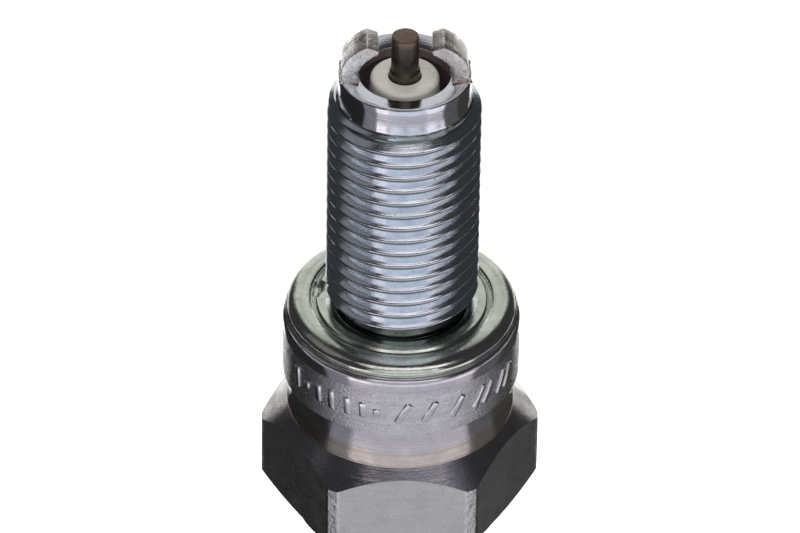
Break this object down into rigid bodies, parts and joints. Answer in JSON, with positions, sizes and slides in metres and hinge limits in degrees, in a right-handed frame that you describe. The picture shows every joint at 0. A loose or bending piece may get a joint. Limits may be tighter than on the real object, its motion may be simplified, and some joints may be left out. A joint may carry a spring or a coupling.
{
  "type": "spark plug",
  "caption": "Threaded engine spark plug with a hexagon, a captive folded gasket, paired side electrodes, a ribbed insulator and a screw-on terminal nut.",
  "frame": {"origin": "on the plug's axis, in the plane of the gasket's sealing face", "axes": "+Z along the axis towards the firing end, X through the two side electrodes, Y square to two hexagon flats"},
  "size_m": [0.018, 0.016, 0.0714],
  "materials": {
    "plated_steel": "bright nickel plate, satin rolled barrel",
    "gasket_steel": "zinc plated, folded sheet",
    "electrode_nickel": "nickel alloy, heat tinted",
    "insulator_ceramic": "glazed alumina",
    "packing_steel": "plain steel",
    "talc": "pressed powder",
    "copper": "copper",
    "seal_glass": "copper-filled glass",
    "resistor_element": "fired carbon and glass",
    "terminal_steel": "nickel plated steel"
  },
  "bodies": {
    "plug": {"metal_shell": "plated_steel", "side_electrode_left": "electrode_nickel", "side_electrode_right": "electrode_nickel", "insulator": "insulator_ceramic", "inner_packing": "packing_steel", "lower_wire_ring": "packing_steel", "talc_packing": "talc", "upper_wire_ring": "packing_steel", "centre_electrode": "electrode_nickel", "electrode_core": "copper", "lower_glass_seal": "seal_glass", "resistor": "resistor_element", "upper_glass_seal": "seal_glass", "terminal_stud": "terminal_steel"},
    "gasket": {"seat_gasket": "gasket_steel"},
    "nut": {"terminal_nut": "terminal_steel"}
  },
  "joints": [
    {"name": "gasket_spin", "type": "hinge", "parent": "plug", "child": "gasket", "pos_m": [0, 0, 0], "axis": [0, 0, 1], "continuous": true},
    {"name": "nut_unscrew", "type": "slide", "parent": "plug", "child": "nut", "axis": [0, 0, -1], "range_m": [0, 0.0085]}
  ]
}
